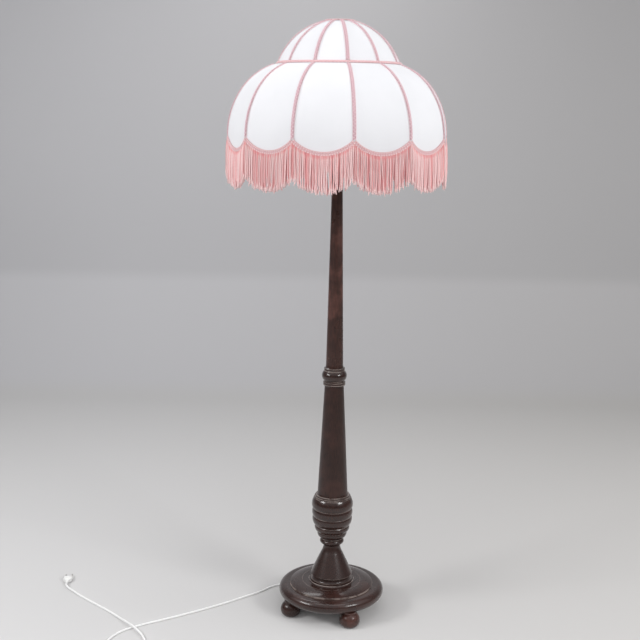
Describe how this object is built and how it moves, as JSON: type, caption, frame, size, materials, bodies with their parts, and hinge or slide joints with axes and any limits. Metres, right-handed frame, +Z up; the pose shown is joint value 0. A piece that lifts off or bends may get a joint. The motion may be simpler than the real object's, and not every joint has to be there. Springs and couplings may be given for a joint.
{
  "type": "floor lamp",
  "caption": "Turned wooden candlestick floor lamp: moulded round base on bun feet, ringed baluster, tapering column, domed fabric shade with a fringe, cord and plug.",
  "frame": {"origin": "on the floor, on the axis of the column", "axes": "+Z up the column; +X to the right and +Y away as the lamp is pictured"},
  "size_m": [1.1191, 0.6403, 1.6707],
  "materials": {
    "dark_wood": "dark brown satin varnish, worn pale at the edges",
    "pale_wood": "bare",
    "brass": "lightly tarnished",
    "steel": "plain",
    "nickel": "bright plated",
    "black_plastic": "moulded, glossy",
    "ceramic_white": "glazed white",
    "bulb_glass": "frosted",
    "clear_glass": "clear",
    "frame_wire": "white enamel",
    "shade_cloth": "taut plain white cloth",
    "pink_braid": "two-tone woven braid",
    "pink_fringe": "hanging strands",
    "cord_white": "smooth white sheath",
    "plug_white": "moulded"
  },
  "bodies": {
    "stand": {"base_disc": "dark_wood", "bun_foot_1": "dark_wood", "bun_foot_2": "dark_wood", "bun_foot_3": "dark_wood", "bun_foot_4": "dark_wood", "pedestal_cone": "dark_wood", "baluster": "dark_wood", "lower_shaft": "dark_wood", "knop": "dark_wood", "upper_shaft": "dark_wood", "foot_dowels": "pale_wood", "column_screws": "steel", "clip_screws": "steel", "shaft_cap": "brass", "nipple": "brass", "nipple_nut": "brass", "lampholder_cap": "black_plastic", "lampholder_barrel": "black_plastic", "lampholder_insert": "ceramic_white", "screw_shell": "brass", "centre_contact": "brass", "shade_ring": "black_plastic", "shade_nut": "black_plastic", "lamp_leads": "cord_white", "bulb_tip": "brass", "bulb_cap": "nickel", "bulb_glass": "bulb_glass", "bulb_stem": "clear_glass", "filament": "steel", "inner_cord": "cord_white", "free_cord": "cord_white", "cord_bush": "cord_white", "cord_clip": "ceramic_white", "plug_body": "plug_white", "plug_pins": "nickel"},
    "switch": {"switch_bar": "black_plastic"},
    "shade": {"carrier_ring": "frame_wire", "carrier_arms": "frame_wire", "shoulder_ring": "frame_wire", "top_ring": "frame_wire", "bell_ribs": "frame_wire", "dome_ribs": "frame_wire", "scallop_wires": "frame_wire", "dome_cover": "shade_cloth", "bell_cover": "shade_cloth", "bell_braid": "pink_braid", "dome_braid": "pink_braid", "shoulder_braid": "pink_braid", "top_braid": "pink_braid", "scallop_gimp": "pink_braid", "fringe": "pink_fringe"}
  },
  "joints": [
    {"name": "switch_slide", "type": "slide", "parent": "stand", "child": "switch", "axis": [-1, 0, 0], "range_m": [0, 0.006]},
    {"name": "shade_turn", "type": "hinge", "parent": "stand", "child": "shade", "pos_m": [0, 0, 1.415], "axis": [0, 0, 1], "continuous": true}
  ]
}
